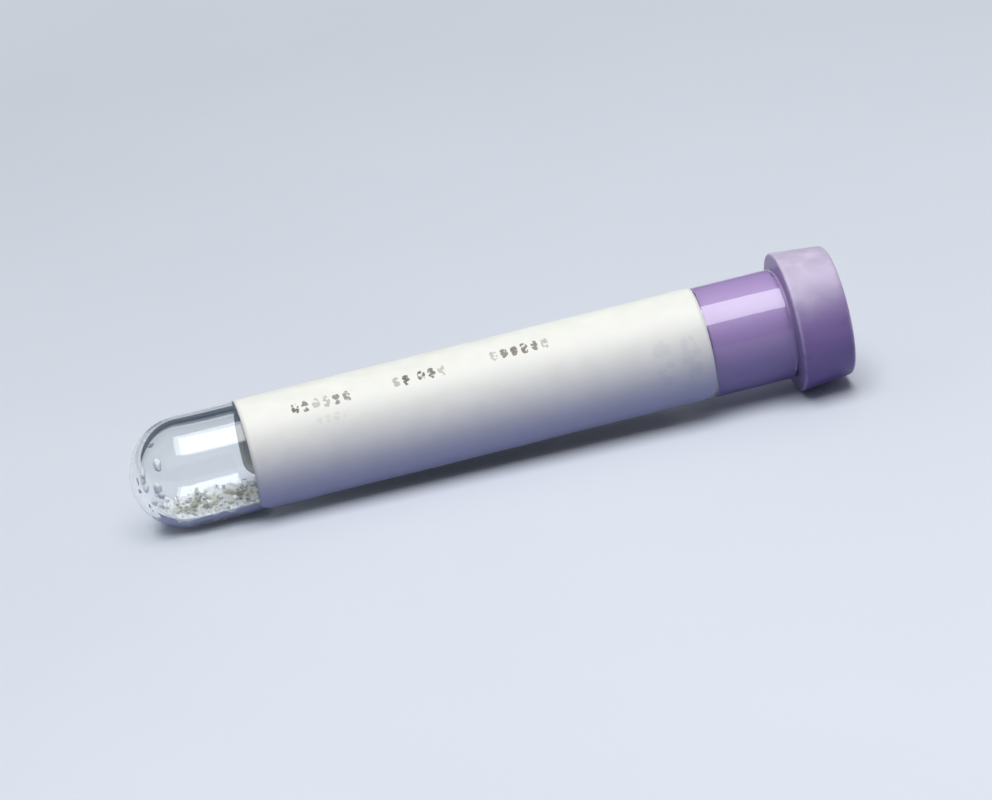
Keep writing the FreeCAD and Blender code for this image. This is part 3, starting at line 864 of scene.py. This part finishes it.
points, faces = crust_shape()
crust = add_mesh("additive_crust", points, faces, "tube", "additive")
shape = bmesh.new()
shape.from_mesh(crust.data)
bmesh.ops.delete(shape, geom=[v for v in shape.verts if not v.link_faces], context="VERTS")
bmesh.ops.remove_doubles(shape, verts=shape.verts, dist=MERGED * MM)
shape.to_mesh(crust.data)
shape.free()
face_outwards(crust)

# %% [markdown]
# ## Crystals
# Crystals are small random hulls, each with flat faces that catch the light. Copies of one
# crystal would be lighter, but the eye finds the repeats, and a hull of eleven random points
# costs only a few faces. The generator is seeded, so every run gives the same tube.

# %% Crystals
random.seed(41)
CRYSTAL_COUNT, CRYSTAL_CORNERS = 150, 11
CRYSTAL_SIZES, LARGEST_EXTRA = (0.14, 0.34), 0.28
TRIES, ENOUGH_CRUST = 40, 0.06


def scatter(name, count, make_one):
    """Many small closed shapes in one mesh."""
    shape = bmesh.new()
    for _ in range(count):
        make_one(shape)
    mesh = bpy.data.meshes.new(name)
    shape.transform(LAID_DOWN)
    shape.to_mesh(mesh)
    shape.free()
    piece = put_in_scene(name, mesh)
    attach(piece, "tube")
    print(name, len(mesh.polygons), "faces")
    return piece


def crystal(shape):
    """One hull of random points, standing in the crust."""
    for _ in range(TRIES):
        along, sideways = random.random(), random.random()
        height = crust_height(along, sideways)
        if height > ENOUGH_CRUST:
            break
    size = random.uniform(*CRYSTAL_SIZES) + LARGEST_EXTRA * random.random() ** 4
    centre = Vector(on_bore(*crust_place(along, sideways), max(size * 1.05, height)))
    corners = []
    for _ in range(CRYSTAL_CORNERS):
        arm = Vector([random.gauss(0, 1) for _ in range(3)]).normalized()
        corners.append(shape.verts.new(centre + arm * size * random.uniform(0.7, 1.0)))
    made = bmesh.ops.convex_hull(shape, input=corners)
    bmesh.ops.delete(shape, geom=made["geom_interior"], context="VERTS")


crystals = scatter("additive_crystals", CRYSTAL_COUNT, crystal)

# %% [markdown]
# ## Beads
# Beads are drops that dried white on the wall, most of them round the bowl. The larger ones are
# listed, and they sit where the bowl shows glints, so their white is partly a painted glint; the
# small ones are placed by chance. Each is a flattened ball, pushed a little out of round by noise,
# and sunk a little into the wall, so that no gap shows under it.

# %% Beads
# Larger drops on the bowl, set where it shows glints, so they stand partly for painted glints:
# place along the axis in mm, degrees from straight up towards the front, size in mm, and how far
# they are stretched round the wall.
BOWL_DROPS_AT_GLINTS = [(-3.3, -5, 0.40, 1.2), (-3.1, 49, 0.40, 1.9), (-4.75, 38, 0.34, 1.7),
              (-4.9, 60, 0.36, 1.8), (-4.9, 98, 0.42, 1.3), (-3.7, 87, 0.48, 1.3),
              (-3.4, 98, 0.3, 1.2), (-4.3, 128, 0.36, 1.2)]
BEAD_COUNT = 20
BEAD_SPREAD = 28             # degrees round the additive
BEAD_START, BEAD_END = BOWL_X - BORE * 0.93, 5.0
BEAD_FLATNESS, BEAD_SUNK, BEAD_UNEVEN = 0.7, 0.62, 0.35


def bead(shape, x, turn, size, stretch):
    """A domed drop on the inner wall, stretched round it, in the straight part or in the bowl."""
    centre = Vector(on_bore(x, turn, size * BEAD_SUNK))
    inward = (Vector((max(x, BOWL_X), 0, 0)) - centre).normalized()
    round_it = Vector((0, -math.cos(turn), -math.sin(turn)))
    place = pointing(round_it.cross(inward), round_it, inward)
    place.translation = centre
    squash = Matrix.Diagonal((size, size * stretch, size * BEAD_FLATNESS, 1))
    drop = bmesh.ops.create_icosphere(shape, subdivisions=3, radius=1.0, matrix=place @ squash)
    for vert in drop["verts"]:
        vert.co += (vert.co - centre) * BEAD_UNEVEN * noise.noise(vert.co * 0.9 / size)


def beads_and_glints_on_bowl(shape):
    """The larger listed drops, partly painted glints, and small ones by chance round the additive."""
    for x, degrees, size, stretch in BOWL_DROPS_AT_GLINTS:
        bead(shape, x, math.radians(degrees), size, stretch)
    for _ in range(BEAD_COUNT):
        turn = CRUST_MIDDLE + math.radians(random.gauss(0, BEAD_SPREAD))
        x, size = random.uniform(BEAD_START, BEAD_END), random.uniform(0.1, 0.3)
        bead(shape, x, turn, size, random.uniform(0.85, 1.4))


beads_and_glints = scatter("additive_beads_and_glints", 1, beads_and_glints_on_bowl)
beads_and_glints.data.shade_smooth()

# %% [markdown]
# ## Dried salt
# The crust is white, and darker, straw-grey, in patches low down, nearest the tabletop.
# Crystals share it, with a sharper gloss and some light passing through. The beads are the
# glossiest, and plain white, so that the larger ones show as painted glints as well as drops.
# Three numbers are all that differs, so one function makes the three finishes, and they stay
# related.

# %% Additive finishes
WHITE_SALT, STRAW_SALT = (0.94, 0.96, 0.98, 1), (0.29, 0.30, 0.22, 1)
STRAW_TOP, STRAW_FULL = 2.3 * MM, 1.7 * MM    # heights above the tabletop
SALT_IOR = 1.5


def make_salt(name, gloss, clear, straw):
    """Salt with its lowest roughness, how much light it lets through, and its share of straw."""
    material, tree, shader, _ = new_material(name)
    grain = add_grain(tree, 0.09, 1.6)
    # Darker and straw-grey towards the bottom, by height above the tabletop.
    low = remap(tree, parts_of(tree, object_place(tree))["Z"], STRAW_TOP, STRAW_FULL)
    patches = remap(tree, grain["Tone"], 0.42, 0.56, to=(0.4, 1.0))
    tint = times(tree, low, patches, straw)
    set_inputs(tree, shader, {
        "Base Color": blend_colors(tree, tint, WHITE_SALT, STRAW_SALT),
        "Roughness": remap(tree, grain["Height"], 0.35, 0.65, to=(gloss, gloss + 0.25)),
        "Normal": add_bump(tree, grain["Height"], 0.04),
        "Transmission Weight": clear,
        "IOR": SALT_IOR,
    })
    return material


give_finish(crust, make_salt("dried_crust", 0.3, 0.1, 0.95))
give_finish(crystals, make_salt("salt_crystals", 0.1, 0.3, 0.75))
# Plain white, glossy beads: dried drops, and in part painted glints.
give_finish(beads_and_glints, make_salt("white_beads_and_glints", 0.05, 0.0, 0.0))

# %% [markdown]
# ## Where it lies
# The tube lies on a plain pale surface. A studio would curve the paper up behind it, but such a
# wall would be in the way of a camera that goes round the tube. So the surface is flat, and far
# from the tube it fades into the backdrop's colour, which leaves no hard horizon from low down.
# Light that bounces off it is kept low and cool, so the tube's underside turns away into shade.

# %% Tabletop
PALE_BACKDROP = (0.66, 0.70, 0.77, 1)
FADE_START, FADE_END = 0.13, 0.34    # distances from the tube's middle, in metres
TABLE_RADIUS = 4.0


def make_tabletop():
    """Pale laminate. Far from the tube it fades into the backdrop's own colour."""
    material, tree, shader, output = new_material("pale_tabletop")
    lighter, bounced = (0.69, 0.73, 0.80, 1), (0.12, 0.14, 0.36, 1)
    grain = add_grain(tree, 0.8, 160.0)
    shown = blend_colors(tree, remap(tree, grain["Tone"], 0.3, 0.7), PALE_BACKDROP, lighter)
    rays = add_node(tree, "ShaderNodeLightPath").outputs
    set_inputs(tree, shader, {
        "Base Color": blend_colors(tree, is_ray(tree, rays, "Diffuse"), shown, bounced),
        "Roughness": remap(tree, grain["Height"], 0.3, 0.7, to=(0.5, 0.6)),
        "Specular IOR Level": 0.3,
    })
    distance = add_node(tree, "ShaderNodeVectorMath", {0: object_place(tree)}, operation="LENGTH")
    far = remap(tree, distance.outputs["Value"], FADE_START, FADE_END)
    faded = times(tree, far, is_ray(tree, rays, "Camera", "Glossy", "Transmission"))
    backdrop = add_node(tree, "ShaderNodeEmission", {"Color": PALE_BACKDROP})
    both = add_node(tree, "ShaderNodeMixShader",
                    {0: faded, 1: shader.outputs[0], 2: backdrop.outputs[0]})
    tree.links.new(both.outputs[0], output.inputs[0])
    return material


shape = bmesh.new()
bmesh.ops.create_circle(shape, cap_ends=True, segments=96, radius=TABLE_RADIUS)
mesh = bpy.data.meshes.new("tabletop")
shape.to_mesh(mesh)
shape.free()
tabletop = put_in_scene("tabletop", mesh)
give_finish(tabletop, make_tabletop())

# %% [markdown]
# ## The camera
# The camera looks down at the tube from a little to its left, and it is rolled so that the tube
# rises to the right. A long lens keeps the tube's sides nearly parallel. The soft light is hung
# by the same directions, so they are worked out first.

# %% Camera
VIEW_TURN, VIEW_RISE, VIEW_ROLL = (math.radians(a) for a in (8.335, 20.0, -9.807))
VIEW_DISTANCE, LENS, SENSOR_WIDTH = 0.65, 210.63, 36.0
UP = Vector((0, 0, 1))
view_centre = Vector((0.999, 0.625, OUTSIDE)) * MM
forward_level = Vector((math.sin(VIEW_TURN), math.cos(VIEW_TURN), 0))
to_camera = UP * math.sin(VIEW_RISE) - forward_level * math.cos(VIEW_RISE)
right = (-to_camera).cross(UP).normalized()
view_up = right.cross(-to_camera)
rolled_right = right * math.cos(VIEW_ROLL) + view_up * math.sin(VIEW_ROLL)
rolled_up = view_up * math.cos(VIEW_ROLL) - right * math.sin(VIEW_ROLL)

camera_data = bpy.data.cameras.new("camera")
camera_data.lens, camera_data.sensor_width = LENS, SENSOR_WIDTH
camera_data.clip_start, camera_data.clip_end = 0.01, 10.0
camera = put_in_scene("camera", camera_data)
camera.matrix_world = pointing(rolled_right, rolled_up, to_camera)
camera.location = view_centre + to_camera * VIEW_DISTANCE
bpy.context.scene.camera = camera
bpy.context.scene.view_settings.view_transform = "Standard"
print("camera at", [round(value, 3) for value in camera.location])

# %% [markdown]
# ## Light
# One soft box hangs overhead, a little in front of straight up. It lays a clean white band along
# the glass, and its mirror image on the far wall shows as a second band below. A sun would light
# the paper as well, but it would leave only a thin bright line on the glass.

# %% Soft box
BOX_BEHIND, BOX_RIGHT = math.radians(-13), math.radians(5)    # from straight up
BOX_DISTANCE, BOX_WIDTH, BOX_DEPTH = 0.6, 0.41, 0.485
BOX_RADIANCE = 5.7

to_box = (UP * math.cos(BOX_BEHIND) + forward_level * math.sin(BOX_BEHIND)
          + right * math.tan(BOX_RIGHT)).normalized()
box_depth = (forward_level - to_box * forward_level.dot(to_box)).normalized()
lamp = bpy.data.lights.new("soft_box", "AREA")
lamp.shape = "RECTANGLE"
lamp.size, lamp.size_y = BOX_WIDTH, BOX_DEPTH
lamp.energy = BOX_RADIANCE * math.pi * BOX_WIDTH * BOX_DEPTH
soft_box = put_in_scene("soft_box", lamp)
soft_box.matrix_world = pointing(box_depth.cross(to_box), box_depth, to_box)
soft_box.location = view_centre + to_box * BOX_DISTANCE
print("soft_box power", round(lamp.energy, 2), "W")

# %% [markdown]
# ## Surroundings
# A soft fill comes from all round, a little stronger from behind, so that no side is left black.
# The camera sees a plain pale backdrop. Mirrors and glass see it at the horizon with a dim room
# above, because glass needs something dark to show at its edges. More lamps could fill the sides
# too, but each would add its own bright patch to the glass.

# %% Surroundings
DIM_ABOVE = (0.08, 0.10, 0.14, 1)
FILL_IN_FRONT, FILL_BEHIND = (0.22, 0.225, 0.24, 1), (0.36, 0.365, 0.38, 1)

world = bpy.data.worlds.new("studio")
bpy.context.scene.world = world
world.use_nodes = True
tree = world.node_tree
tree.nodes.clear()
towards = parts_of(tree, add_node(tree, "ShaderNodeTexCoord").outputs["Generated"])
studio = blend_colors(tree, remap(tree, towards["Z"], 0.02, 0.07), PALE_BACKDROP, DIM_ABOVE)
fill = blend_colors(tree, remap(tree, towards["Y"], -0.5, 0.5), FILL_IN_FRONT, FILL_BEHIND)
rays = add_node(tree, "ShaderNodeLightPath").outputs
sky = blend_colors(tree, is_ray(tree, rays, "Glossy", "Transmission"), fill, studio)
sky = blend_colors(tree, is_ray(tree, rays, "Camera"), sky, PALE_BACKDROP)
background = add_node(tree, "ShaderNodeBackground", {"Color": sky, "Strength": 1.0})
add_node(tree, "ShaderNodeOutputWorld", {0: background.outputs[0]})
print("world", world.name, "has", len(tree.nodes), "nodes")
